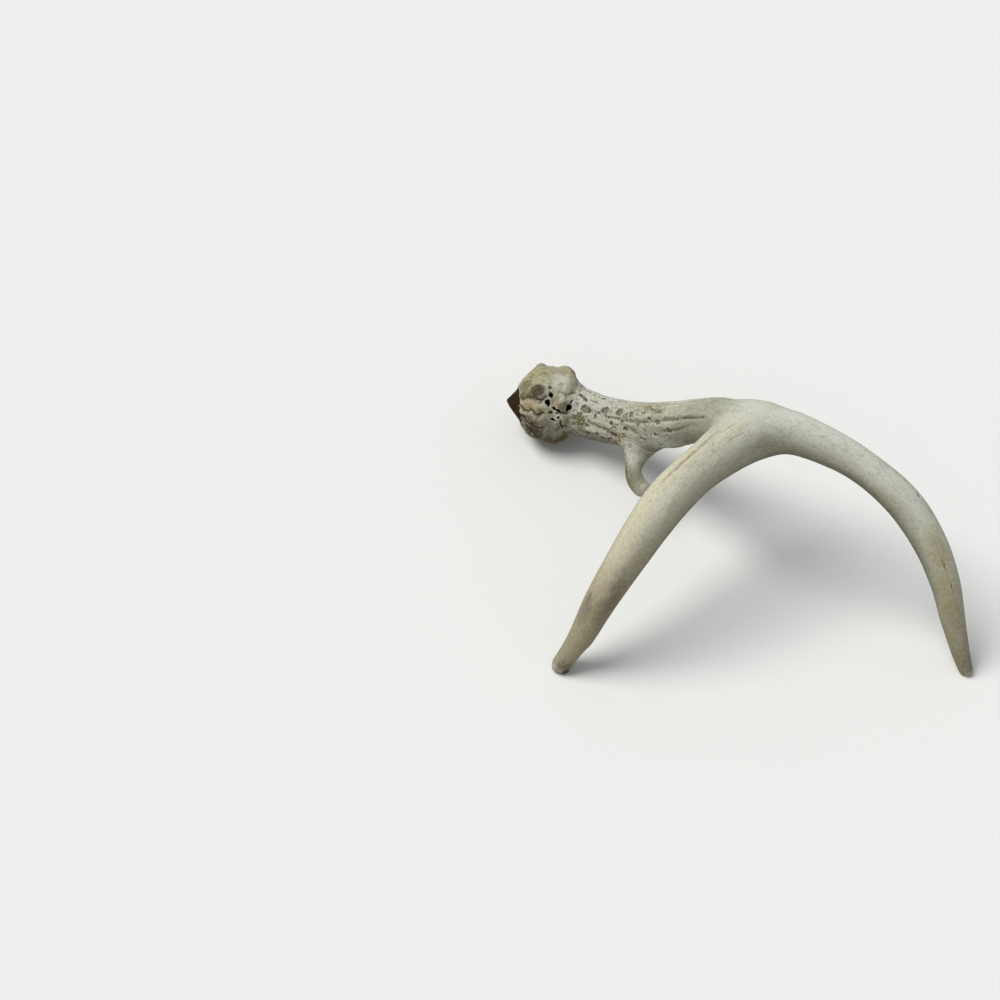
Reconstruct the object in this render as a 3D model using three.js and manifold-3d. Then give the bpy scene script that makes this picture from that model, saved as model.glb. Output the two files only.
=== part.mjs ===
// A shed deer antler, lying on its burr and on the tips of its two long prongs.
// Millimetres, +Z up. The origin is on the surface it lies on, below the middle of its outline.
// The antler grew as one piece: it is parted at its forks, and each branch is one closed solid.
import * as THREE from 'three';
import Module from 'manifold-3d';

const wasm = await Module();
wasm.setup();

// ---- Driving dimensions ----
const gap = 0.3; // left between two branches where they are parted
const floorCut = 4; // thickness of the slice taken off below the resting plane
// The seal is the convex face where the antler came off the skull. Its tip sits a little low.
const seal = { radius: 14, bulge: 10.5, sink: 1.7 };
const burr = { radius: 25, back: 12, lobes: 13, lobeHeight: 1.8, lean: 2.5 };
const beamRidges = { count: 7, height: 0.8, reach: 130 }; // coarse ridges, fading towards the fork
const beamRadius = 15; // of the main beam between the burr and the fork
const bluntTip = 3.5; // length over which a worn tip rounds off

// The outer face: the side that all branches turn towards a viewer who looks down on the antler.
const outerFace = new THREE.Vector3(0, -0.643, 0.766);

// Centre lines, each point as x, y, z and the radius of the bone there.
const burrCentre = new THREE.Vector3(-112, 93.4, 25.4);
const burrAxis = new THREE.Vector3(0.99, -0.11, -0.092).normalize();
const beamLine = [
  [-122, 94, 26, 15.5],
  [-106, 91.7, 25.5, 17],
  [-90, 83.9, 27.3, 16.3],
  [-75, 72.6, 32.6, 15.4],
  [-52, 54.8, 46.8, 15.1],
  [-34, 38.4, 64.5, 15.4],
  [-17, 22, 87, 14.2],
  [-7, 10, 100, 15],
  [0, 0.4, 107.6, 15.6],
  [9, -6.6, 112.4, 16],
  [19, -10.4, 112.6, 14.5],
];
const browLine = [
  [-50, 52, 46, 10],
  [-52, 44, 40.5, 9.6],
  [-54.8, 37, 36, 7.7],
  [-56.9, 29, 32.5, 5.7],
  [-56, 20.5, 30, 5.7],
  [-50, 12.5, 27.5, 5.7],
];
const archLine = [
  [-108.9, -112, 0.7, 6.3],
  [-96.4, -105.7, 23, 7.9],
  [-83.1, -94.5, 50.1, 10.1],
  [-68.2, -80.4, 72.1, 12],
  [-53.3, -65, 89, 13.5],
  [-41, -52, 98, 14.3],
  [-20.3, -33.2, 105.4, 14.2],
  [13.2, -10.9, 112.2, 17.6],
  [31.5, -12.6, 114.8, 14.2],
  [48, -18, 113.2, 12.3],
  [76.2, -30.8, 105.2, 10.9],
  [104.4, -48.2, 88.8, 11.2],
  [122, -66, 69.4, 10.4],
  [132.2, -81.7, 50.7, 9.2],
  [138.6, -96.4, 30.5, 7.6],
  [145.3, -109.9, 11, 5.6],
  [149.8, -115.8, 0.4, 4.2],
];
const forkPoint = new THREE.Vector3(11, -11, 112); // where the arch is parted into its two prongs
const outlineMiddle = new THREE.Vector3(5.8, 1.6, 0); // below it the origin is put

// ---- Skins ----
// A closed skin around a centre line. The rings stand across the line, with more of them where the
// two ends round off, and each end closes in one point. Relief is the height added at a place,
// from the distance along the line, its fraction of the whole, and the angle from the outer face.
function skin(line, { sides, rings, roundings, relief = () => 0, extra = 0 }) {
  const centre = new THREE.CatmullRomCurve3(line.map(([x, y, z]) => new THREE.Vector3(x, y, z)),
    false, 'centripetal');
  const radius = new THREE.SplineCurve(line.map((point, i) => new THREE.Vector2(i, point[3])));
  centre.arcLengthDivisions = 800;
  const length = centre.getLength();
  const distances = ringDistances(length, roundings, rings);
  const vertices = [];
  for (const distance of distances) {
    const share = THREE.MathUtils.clamp(distance / length, 0, 1);
    const t = centre.getUtoTmapping(share);
    const middle = centre.getPoint(t);
    const along = centre.getTangent(t);
    const across = new THREE.Vector3().crossVectors(along, outerFace).normalize();
    const out = new THREE.Vector3().crossVectors(across, along);
    const round = endRounding(distance, length, roundings);
    for (let i = 0; i < sides; i += 1) {
      const angle = (i / sides) * 2 * Math.PI;
      const bump = relief(distance, share, angle);
      const reach = (radius.getPoint(t).y + bump + extra) * round;
      vertices.push(middle.clone()
        .addScaledVector(out, reach * Math.cos(angle))
        .addScaledVector(across, reach * Math.sin(angle)));
    }
  }
  const first = centre.getPoint(0).addScaledVector(centre.getTangent(0), -extra);
  const last = centre.getPoint(1).addScaledVector(centre.getTangent(1), extra);
  return closedTube(vertices, sides, first, last);
}

// Distances of the rings along a line: close together in the rounded ends, even in between.
function ringDistances(length, [start, end], rings) {
  const endRings = 3;
  const distances = [];
  for (let i = 1; i <= endRings; i += 1) {
    distances.push(start * (1 - Math.cos((i / (endRings + 1)) * Math.PI / 2)));
  }
  const middleRings = rings - 2 * endRings;
  for (let i = 0; i < middleRings; i += 1) {
    distances.push(THREE.MathUtils.lerp(start, length - end, i / (middleRings - 1)));
  }
  for (let i = endRings; i >= 1; i -= 1) {
    distances.push(length - end * (1 - Math.cos((i / (endRings + 1)) * Math.PI / 2)));
  }
  return distances;
}

// The share of the full radius that is left at a place inside a rounded end.
function endRounding(distance, length, [start, end]) {
  const fromStart = 1 - Math.min(distance / start, 1);
  const fromEnd = 1 - Math.min((length - distance) / end, 1);
  return Math.sqrt(1 - fromStart ** 2) * Math.sqrt(1 - fromEnd ** 2);
}

// Rings of vertices joined into one closed surface, with a point at each end.
function closedTube(vertices, sides, first, last) {
  const rings = vertices.length / sides;
  const points = [...vertices, first, last];
  const firstIndex = vertices.length;
  const lastIndex = vertices.length + 1;
  const faces = [];
  for (let i = 0; i < sides; i += 1) {
    const next = (i + 1) % sides;
    faces.push(firstIndex, next, i);
    for (let ring = 0; ring < rings - 1; ring += 1) {
      const here = ring * sides;
      const beyond = here + sides;
      faces.push(here + i, here + next, beyond + i);
      faces.push(here + next, beyond + next, beyond + i);
    }
    const end = (rings - 1) * sides;
    faces.push(end + i, end + next, lastIndex);
  }
  const geometry = new THREE.BufferGeometry().setFromPoints(points);
  geometry.setIndex(faces);
  return geometry;
}

// ---- Joining and cutting ----
function solidOf(geometry) {
  const vertProperties = new Float32Array(geometry.getAttribute('position').array);
  const triVerts = new Uint32Array(geometry.getIndex().array);
  return new wasm.Manifold(new wasm.Mesh({ numProp: 3, vertProperties, triVerts }));
}

function boxSolid(size, place, turn = new THREE.Quaternion()) {
  const geometry = new THREE.BoxGeometry(...size);
  geometry.applyQuaternion(turn);
  geometry.translate(...place);
  const corners = [];
  const faces = [];
  const positions = geometry.getAttribute('position');
  for (let i = 0; i < geometry.getIndex().count; i += 1) {
    const corner = new THREE.Vector3().fromBufferAttribute(positions, geometry.getIndex().getX(i));
    let found = corners.findIndex((other) => other.distanceTo(corner) < 1e-4);
    if (found < 0) {
      found = corners.push(corner) - 1;
    }
    faces.push(found);
  }
  const merged = new THREE.BufferGeometry().setFromPoints(corners);
  merged.setIndex(faces);
  return solidOf(merged);
}

function meshOf(name, solid, material) {
  const { vertProperties, triVerts } = solid.getMesh();
  const geometry = new THREE.BufferGeometry();
  geometry.setAttribute('position', new THREE.BufferAttribute(vertProperties, 3));
  geometry.setIndex(new THREE.BufferAttribute(triVerts, 1));
  geometry.computeVertexNormals();
  const mesh = new THREE.Mesh(geometry, material);
  mesh.name = name;
  return mesh;
}

// ---- The burr: a thick collar of knobs, with the seal bulging out of its face ----
// Places on it are the distance along its axis from the middle of the collar, and the angle.
// Its profile goes from the tip of the seal to the place where it sinks into the beam.
const burrProfile = [
  [-seal.radius - 5.5 - seal.bulge, 0],
  [-25.5, 6.2],
  [-21.5, 11.1],
  [-17, seal.radius + 3],
  [-13, 21.5],
  [-9, 24],
  [-4, burr.radius],
  [2, burr.radius - 0.3],
  [8, burr.radius],
  [burr.back, 23.5],
  [15.5, 20],
  [18.5, 14],
  [20.5, 0],
];
// Knobs that stand out of the collar: distance along the axis, angle in degrees, height, spread.
const knobs = [
  [-8, -92, 1.9, 6],
  [-16, -72, 1.2, 8],
  [8, -86, 2.2, 7],
  [10, 92, 2.4, 8],
  [0, 88, 1.5, 6],
  [19, 92, 1.2, 6],
  [-8, 30, 1.2, 6],
  [10, -35, 1.4, 7],
  [8, 150, 1.6, 8],
  [-5, -140, 1.5, 7],
];
// Hollows between the front and the back row of knobs.
const hollows = [
  [1, -14, 2.2, 4.5],
  [0.5, 8, 2.4, 4.5],
  [6, 22, 1.8, 4.5],
  [3, 45, 1.4, 4],
  [14, 12, 1.6, 4.5],
  [1, 120, 2, 5],
  [2, -165, 2.2, 5],
  [1, -110, 1.8, 5],
];

function angleBetween(a, b) {
  return Math.atan2(Math.sin(a - b), Math.cos(a - b));
}

function mound(distance, angle, [place, degrees, height, spread], radius) {
  const sideways = angleBetween(angle, THREE.MathUtils.degToRad(degrees)) * radius;
  const squared = (distance - place) ** 2 + sideways ** 2;
  return height * Math.exp(-squared / (0.36 * spread * spread));
}

function burrRelief(place, angle) {
  const wobble = angle + 0.16 * Math.sin(3 * angle + 1);
  const front = Math.cos(burr.lobes * wobble);
  const rear = Math.cos((burr.lobes - 2) * wobble + 1.4);
  const onFront = Math.exp(-(((place + 9) / 7.5) ** 2));
  const onRear = Math.exp(-(((place - 10) / 6) ** 2));
  let height = burr.lobeHeight * (front * onFront + rear * onRear);
  for (const knob of knobs) {
    height += mound(place, angle, knob, burr.radius);
  }
  for (const hollow of hollows) {
    height -= mound(place, angle, hollow, burr.radius);
  }
  return height;
}

function burrGeometry() {
  const sides = 52;
  const rings = 21;
  const profile = new THREE.SplineCurve(burrProfile.map(([place, radius]) => (
    new THREE.Vector2(place, radius))));
  const across = new THREE.Vector3().crossVectors(burrAxis, outerFace).normalize();
  const out = new THREE.Vector3().crossVectors(across, burrAxis);
  const vertices = [];
  for (let ring = 1; ring <= rings; ring += 1) {
    const { x: place, y: radius } = profile.getPointAt(ring / (rings + 1));
    for (let i = 0; i < sides; i += 1) {
      const angle = (i / sides) * 2 * Math.PI;
      // The back of the collar leans: it sits further up the beam on the upper edge.
      const leaning = -burr.lean * Math.sin(angle) * THREE.MathUtils.smoothstep(place, 0, 12);
      const inSeal = THREE.MathUtils.smoothstep(radius, seal.radius - 4, seal.radius + 4);
      const reach = radius + inSeal * burrRelief(place, angle);
      const sunk = seal.sink * THREE.MathUtils.smoothstep(-place, seal.radius, 2 * seal.radius);
      vertices.push(burrCentre.clone()
        .addScaledVector(burrAxis, place + leaning)
        .addScaledVector(out, reach * Math.cos(angle))
        .addScaledVector(across, sunk + reach * Math.sin(angle)));
    }
  }
  const tip = burrCentre.clone()
    .addScaledVector(burrAxis, burrProfile[0][0])
    .addScaledVector(across, seal.sink);
  const root = burrCentre.clone().addScaledVector(burrAxis, burrProfile.at(-1)[0]);
  return closedTube(vertices, sides, tip, root);
}

// ---- The beam: coarse ridges and furrows that fade towards the fork ----
// Pits lie between the ridges: distance along the beam, angle in degrees, depth, spread.
const beamPits = [
  [37, -25, 1.2, 6],
  [45, 14, 1.3, 6],
  [53, -8, 1.5, 6],
  [60, 24, 1.1, 6],
  [66, -30, 1.2, 6],
  [78, 5, 1.2, 7],
  [50, 130, 1.2, 7],
  [64, -120, 1.2, 7],
  [76, 175, 1.2, 8],
  [90, 60, 1, 8],
];

function beamRelief(distance, share, angle) {
  const fade = 1 - THREE.MathUtils.smoothstep(distance, 40, beamRidges.reach);
  const drift = 0.5 * Math.sin(distance / 19);
  const ridge = Math.cos(beamRidges.count * angle + drift);
  const pearls = Math.cos(distance / 2.6 + 2 * angle) * Math.cos(5 * angle - distance / 7);
  let height = beamRidges.height * fade * (0.6 * ridge + 0.5 * pearls);
  for (const pit of beamPits) {
    height -= mound(distance, angle, pit, beamRadius);
  }
  return height;
}

// ---- The arch: both long prongs, smooth, a little flattened where they meet ----
function archRelief(distance, share, angle) {
  const atFork = Math.exp(-(((distance - 180) / 32) ** 2));
  const flattened = -1.6 * atFork * Math.cos(angle) ** 2;
  const waves = 0.25 * Math.cos(3 * angle + distance / 23) + 0.2 * Math.cos(distance / 11 - angle);
  return flattened + waves;
}

const sizes = {
  beam: { sides: 30, rings: 42, roundings: [6, 7], relief: beamRelief },
  brow: { sides: 18, rings: 18, roundings: [8, 5] },
  arch: { sides: 24, rings: 80, roundings: [bluntTip, bluntTip], relief: archRelief },
};

// ---- Building the four solids ----
const arch = solidOf(skin(archLine, sizes.arch));
const archAndGap = solidOf(skin(archLine, { ...sizes.arch, extra: gap }));
const beamStem = solidOf(skin(beamLine, sizes.beam));
const beamAndGap = solidOf(skin(beamLine, { ...sizes.beam, extra: gap }));
const brow = solidOf(skin(browLine, sizes.brow));
const burrCollar = solidOf(burrGeometry());

// Everything below the resting plane is worn away, which leaves a small flat on each foot.
const belowFloor = boxSolid([400, 400, floorCut], [0, 0, -floorCut / 2]);

// The arch is parted at the fork by a slot across it.
const archWay = new THREE.Vector3(1, 0.1, 0.12).normalize();
const slotTurn = new THREE.Quaternion().setFromUnitVectors(new THREE.Vector3(1, 0, 0), archWay);
const beyond = 300;
const offset = (beyond - gap) / 2;
const tineHalf = boxSolid([beyond, beyond, beyond],
  forkPoint.clone().addScaledVector(archWay, offset).toArray(), slotTurn);
const prongHalf = boxSolid([beyond, beyond, beyond],
  forkPoint.clone().addScaledVector(archWay, -offset).toArray(), slotTurn);

const forwardProng = arch.subtract(tineHalf).subtract(belowFloor);
const rearTine = arch.subtract(prongHalf).subtract(belowFloor);
const burrAndBeam = burrCollar.add(beamStem).subtract(archAndGap).subtract(belowFloor);
const browTine = brow.subtract(beamAndGap);

// ---- Materials ----
const weatheredBone = new THREE.MeshStandardMaterial({ color: 0xb4b2a1, roughness: 0.8, metalness: 0 });
const paleBone = new THREE.MeshStandardMaterial({ color: 0xc2c1af, roughness: 0.7, metalness: 0 });
const creamBone = new THREE.MeshStandardMaterial({ color: 0xbab391, roughness: 0.65, metalness: 0 });
const greyBone = new THREE.MeshStandardMaterial({ color: 0x8f8f7a, roughness: 0.75, metalness: 0 });

// ---- The antler ----
const antler = new THREE.Group();
antler.position.copy(outlineMiddle).negate();
antler.add(
  meshOf('burr_and_beam', burrAndBeam, weatheredBone),
  meshOf('brow_tine', browTine, greyBone),
  meshOf('forward_prong', forwardProng, creamBone),
  meshOf('rear_tine', rearTine, paleBone),
);

export default antler;
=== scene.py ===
import math

import bpy
import numpy as np
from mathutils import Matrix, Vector


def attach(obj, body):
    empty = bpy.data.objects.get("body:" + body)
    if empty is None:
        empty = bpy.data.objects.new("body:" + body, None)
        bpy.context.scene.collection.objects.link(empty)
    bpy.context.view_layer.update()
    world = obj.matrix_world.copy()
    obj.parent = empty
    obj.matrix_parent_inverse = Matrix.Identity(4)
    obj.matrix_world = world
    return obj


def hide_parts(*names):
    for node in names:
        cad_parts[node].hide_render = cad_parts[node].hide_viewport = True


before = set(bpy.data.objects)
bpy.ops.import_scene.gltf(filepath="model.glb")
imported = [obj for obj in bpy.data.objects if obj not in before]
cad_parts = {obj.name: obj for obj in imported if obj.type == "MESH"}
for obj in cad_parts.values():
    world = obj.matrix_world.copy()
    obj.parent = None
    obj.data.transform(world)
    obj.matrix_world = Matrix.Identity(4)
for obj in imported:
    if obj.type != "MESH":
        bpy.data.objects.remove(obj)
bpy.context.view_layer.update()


# ---- The view ----
# The antler is seen from the side of its two tips, from 50 degrees above the table it lies on.
# Its fork is 1.25 m away, to the right of the middle of the view and a little above it.

camera_elevation = math.radians(50)
camera_distance = 1.25
camera_target = Vector((-0.1517, -0.0432, 0.0831))
field_width = 0.625  # how much of the table's width shows at that distance, in metres
sensor_width = 36

towards_camera = Vector((0, -math.cos(camera_elevation), math.sin(camera_elevation)))
camera = bpy.data.objects.new("camera", bpy.data.cameras.new("camera"))
camera.data.sensor_width = sensor_width
camera.data.lens = sensor_width * camera_distance / field_width
camera.location = camera_target + towards_camera * camera_distance
camera.rotation_mode = "QUATERNION"
camera.rotation_quaternion = (-towards_camera).to_track_quat("-Z", "Y")
bpy.context.scene.collection.objects.link(camera)
bpy.context.scene.camera = camera


# ---- The table and the light ----
# A plain pale table top under a wide soft lamp, high up on the left and a little behind the antler,
# and an even pale room.

key_direction = Vector((-0.5, 0.12, 0.86))
key_lamp = bpy.data.objects.new("key_lamp", bpy.data.lights.new("key_lamp", "SUN"))
key_lamp.data.energy = 2.5
key_lamp.data.angle = math.radians(36)
key_lamp.data.color = (1.0, 0.985, 0.955)
key_lamp.rotation_mode = "QUATERNION"
key_lamp.rotation_quaternion = key_direction.to_track_quat("Z", "Y")
bpy.context.scene.collection.objects.link(key_lamp)

room = bpy.data.worlds.new("room")
room.use_nodes = True
room.node_tree.nodes["Background"].inputs["Color"].default_value = (0.95, 0.98, 1.0, 1)
room.node_tree.nodes["Background"].inputs["Strength"].default_value = 0.38
bpy.context.scene.world = room
bpy.context.scene.view_settings.view_transform = "Standard"

table_reach = 60
table_mesh = bpy.data.meshes.new("table")
table_mesh.from_pydata(
    [(-table_reach, -table_reach, 0), (table_reach, -table_reach, 0),
     (table_reach, table_reach, 0), (-table_reach, table_reach, 0)], [], [(0, 1, 2, 3)])
table = bpy.data.objects.new("table", table_mesh)
bpy.context.scene.collection.objects.link(table)
table_paint = bpy.data.materials.new("table_paint")
table_paint.use_nodes = True
table_shader = table_paint.node_tree.nodes["Principled BSDF"]
table_shader.inputs["Base Color"].default_value = (0.82, 0.82, 0.81, 1)
table_shader.inputs["Roughness"].default_value = 0.9
table_shader.inputs["Specular IOR Level"].default_value = 0.2
table.data.materials.append(table_paint)


# ---- The antler: how it grew ----
# One piece of bone. The main beam grows out of the burr, sends a small brow tine off its lower
# side, and runs into an arch that is the forward prong on one side and the rear tine on the other.
# Each limb is a line through its middle, in millimetres, with the bone's radius at each point.

OUTLINE_MIDDLE = np.array([5.8, 1.6, 0])  # the antler's own origin is moved below this point
OUTER_FACE = np.array([0, -0.643, 0.766])  # the side that faces up and forward as it lies
BEAM = [
    (-122, 94, 26, 15.5),
    (-106, 91.7, 25.5, 17),
    (-90, 83.9, 27.3, 16.3),
    (-75, 72.6, 32.6, 15.4),
    (-52, 54.8, 46.8, 15.1),
    (-34, 38.4, 64.5, 15.4),
    (-17, 22, 87, 14.2),
    (-7, 10, 100, 15),
    (0, 0.4, 107.6, 15.6),
    (9, -6.6, 112.4, 16),
    (19, -10.4, 112.6, 14.5),
]
BROW = [
    (-50, 52, 46, 10),
    (-52, 44, 40.5, 9.6),
    (-54.8, 37, 36, 7.7),
    (-56.9, 29, 32.5, 5.7),
    (-56, 20.5, 30, 5.7),
    (-48.8, 10.8, 27, 5.9),
]
ARCH = [
    (-108.9, -112, 0.7, 6.3),
    (-96.4, -105.7, 23, 7.9),
    (-83.1, -94.5, 50.1, 10.1),
    (-68.2, -80.4, 72.1, 12),
    (-53.3, -65, 89, 13.5),
    (-41, -52, 98, 14.3),
    (-20.3, -33.2, 105.4, 14.2),
    (13.2, -10.9, 112.2, 17.6),
    (31.5, -12.6, 114.8, 14.2),
    (48, -18, 113.2, 12.3),
    (76.2, -30.8, 105.2, 10.9),
    (104.4, -48.2, 88.8, 11.2),
    (122, -66, 69.4, 10.4),
    (132.2, -81.7, 50.7, 9.2),
    (138.6, -96.4, 30.5, 7.6),
    (145.3, -109.9, 11, 5.6),
    (149.8, -115.8, 0.4, 4.2),
]


def unit(vectors):
    return vectors / np.linalg.norm(vectors, axis=-1, keepdims=True)


class Limb:
    """A smooth line through the points of a limb, sampled every 1.5 mm, with the radius on it."""

    spacing = 1.5

    def __init__(self, points, blunt_start=0.0, blunt_end=0.0):
        points = np.array(points, float)
        fine, radius = self.smooth_line(points)
        along = np.r_[0, np.cumsum(np.linalg.norm(np.diff(fine, axis=0), axis=1))]
        self.length = along[-1]
        count = int(self.length / self.spacing)
        # A blunt end is a ball, so the line stops short of the tip by the ball's own radius.
        self.along = np.linspace(blunt_start, self.length - blunt_end, count)
        self.middle = np.stack([np.interp(self.along, along, fine[:, i]) for i in range(3)], 1)
        self.radius = np.interp(self.along, along, radius)
        self.forward = unit(np.gradient(self.middle, axis=0))
        self.across = unit(np.cross(self.forward, OUTER_FACE))
        self.out = np.cross(self.across, self.forward)

    @staticmethod
    def smooth_line(points, steps=40):
        """A centripetal Catmull-Rom curve through the points, and a plain one through the radii."""
        ahead = np.vstack([2 * points[0] - points[1], points, 2 * points[-1] - points[-2]])
        ahead[0, 3] = points[0, 3]
        ahead[-1, 3] = points[-1, 3]
        places = []
        radii = []
        t = np.linspace(0, 1, steps, endpoint=False)[:, None]
        for before, start, end, after in zip(ahead, ahead[1:], ahead[2:], ahead[3:]):
            p0, p1, p2, p3 = before[:3], start[:3], end[:3], after[:3]
            d0, d1, d2 = (math.sqrt(np.linalg.norm(b - a)) for a, b in ((p0, p1), (p1, p2), (p2, p3)))
            m1 = ((p1 - p0) / d0 - (p2 - p0) / (d0 + d1) + (p2 - p1) / d1) * d1
            m2 = ((p2 - p1) / d1 - (p3 - p1) / (d1 + d2) + (p3 - p2) / d2) * d1
            places.append((2 * t**3 - 3 * t**2 + 1) * p1 + (t**3 - 2 * t**2 + t) * m1
                          + (3 * t**2 - 2 * t**3) * p2 + (t**3 - t**2) * m2)
            slope1 = (end[3] - before[3]) / 2
            slope2 = (after[3] - start[3]) / 2
            radii.append((2 * t**3 - 3 * t**2 + 1) * start[3] + (t**3 - 2 * t**2 + t) * slope1
                         + (3 * t**2 - 2 * t**3) * end[3] + (t**3 - t**2) * slope2)
        places.append(points[-1:, :3])
        radii.append(points[-1:, 3:])
        return np.vstack(places), np.vstack(radii)[:, 0]

    def nearest(self, places):
        """The sample whose skin each place is nearest to, found in a coarse and a fine search."""
        stride = 8
        window = np.arange(-stride, stride + 1)
        found = np.empty(len(places), int)
        for first in range(0, len(places), 16384):
            part = places[first:first + 16384]
            gaps = np.linalg.norm(part[:, None] - self.middle[None, ::stride], axis=2)
            rough = (gaps - self.radius[None, ::stride]).argmin(1) * stride
            close = np.clip(rough[:, None] + window, 0, len(self.middle) - 1)
            gaps = np.linalg.norm(part[:, None] - self.middle[close], axis=2) - self.radius[close]
            found[first:first + 16384] = close[np.arange(len(part)), gaps.argmin(1)]
        return found

    def around(self, places):
        """For each place: its height over the skin, and its distances across, out and along."""
        nearest = self.nearest(places)
        offset = places - self.middle[nearest]
        forward = self.forward[nearest]
        beyond = (offset * forward).sum(1)
        inside = (nearest > 0) & (nearest < len(self.middle) - 1)
        step = np.clip(beyond, -self.spacing, self.spacing) * inside
        offset = offset - step[:, None] * forward
        swell = np.gradient(self.radius, self.along)[nearest]
        height = np.linalg.norm(offset, axis=1) - self.radius[nearest] - swell * step
        across = (offset * self.across[nearest]).sum(1)
        out = (offset * self.out[nearest]).sum(1)
        return height, across, out, self.along[nearest] + beyond


beam = Limb(BEAM, 12, 7)
brow = Limb(BROW, 4, 5)
arch = Limb(ARCH, 5.2, 3.0)


# ---- The antler: its burr ----
# The collar of knobs where the antler sat on the skull. The antler let go there by itself, which
# left the seal: a dark rough face that bulges out of the collar. Places on the burr are the distance
# along its axis from the middle of the collar, and the angle from the outer face.

BURR_MIDDLE = np.array([-112, 93.4, 25.4])
BURR_AXIS = unit(np.array([0.99, -0.11, -0.092]))
BURR_ACROSS = unit(np.cross(BURR_AXIS, OUTER_FACE))
BURR_OUT = np.cross(BURR_ACROSS, BURR_AXIS)
BURR_LEAN = 2.5  # how much further up the beam the back of the collar reaches on its upper edge
SEAL_SINK = 1.7  # how far the tip of the seal sits below the axis
BURR_PROFILE = np.array([
    (-30.5, 0),
    (-29.2, 2),
    (-25.5, 6.6),
    (-21.5, 11.3),
    (-17, 17),
    (-13, 21.5),
    (-9, 24),
    (-4, 25),
    (2, 24.7),
    (8, 25),
    (12, 23.5),
    (15.5, 20),
    (18.5, 14),
    (20.5, 0),
])


def smoothstep(low, high, values):
    """Rises smoothly from 0 at low to 1 at high. With low above high it falls instead."""
    share = np.clip((values - low) / (high - low), 0, 1)
    return share * share * (3 - 2 * share)


def burr_around(places):
    """For each place: its height over the burr, and its distances along, across and out."""
    offset = places - BURR_MIDDLE
    along = offset @ BURR_AXIS
    across = offset @ BURR_ACROSS - SEAL_SINK * smoothstep(-14, -28, along)
    out = offset @ BURR_OUT
    angle = np.arctan2(across, out)
    reach = np.hypot(across, out)
    flat = along + BURR_LEAN * np.sin(angle) * smoothstep(0, 12, along)
    gap = np.full(len(places), np.inf)
    for (a0, r0), (a1, r1) in zip(BURR_PROFILE, BURR_PROFILE[1:]):
        run = (a1 - a0)**2 + (r1 - r0)**2
        share = np.clip(((flat - a0) * (a1 - a0) + (reach - r0) * (r1 - r0)) / run, 0, 1)
        gap = np.minimum(gap, np.hypot(flat - a0 - share * (a1 - a0), reach - r0 - share * (r1 - r0)))
    skin = np.interp(flat, BURR_PROFILE[:, 0], BURR_PROFILE[:, 1], left=-1, right=-1)
    return np.where(reach < skin, -gap, gap), along, across, out


# ---- The antler: one skin over all its limbs ----
# The limbs and the burr are swept as plain tubes, fused in one closed skin, and the skin is then
# drawn onto the bone: where two limbs meet it takes the soft web that grown bone has.

SKIN_GRAIN = 0.55  # size of the skin's facets in millimetres
FORK_MIDDLE = np.array([13.2, -10.9, 112.2])
OVER_FORK = np.array([0, 0.766, 0.643])  # the way over the fork, from its near to its far side
FORK_WEB = (3.0, 9.0)  # how far beam and arch flow into each other, on the near and on the far side
FORK_TURN = (4, 19)  # how far over the fork the narrow web begins to widen, and is wide
BROW_WEB = 12.0  # the same where the brow tine leaves the beam
BURR_WEB = 5.0
TUBE_SIDES = 40
DRAWN_STEPS = 4  # how often the fused tubes are drawn onto the bone
LONGEST_STEP = 1.5  # how far a corner of the skin moves at most in one such step
EVENING_ROUNDS = 3

bone = bpy.data.materials.new("weathered_bone")
bone.use_nodes = True


def blend_heights(first, second, web):
    """The height over two skins that flow into each other over the given distance."""
    near = np.maximum(web - np.abs(first - second), 0) / web
    return np.minimum(first, second) - near**2 * web / 4


def antler_height(places):
    """The height of each place over the whole bare antler, without its relief."""
    far_side = smoothstep(*FORK_TURN, (places - FORK_MIDDLE) @ OVER_FORK)
    web = FORK_WEB[0] + (FORK_WEB[1] - FORK_WEB[0]) * far_side
    height = blend_heights(beam.around(places)[0], arch.around(places)[0], web)
    height = blend_heights(height, brow.around(places)[0], BROW_WEB)
    return blend_heights(height, burr_around(places)[0], BURR_WEB)


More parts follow.
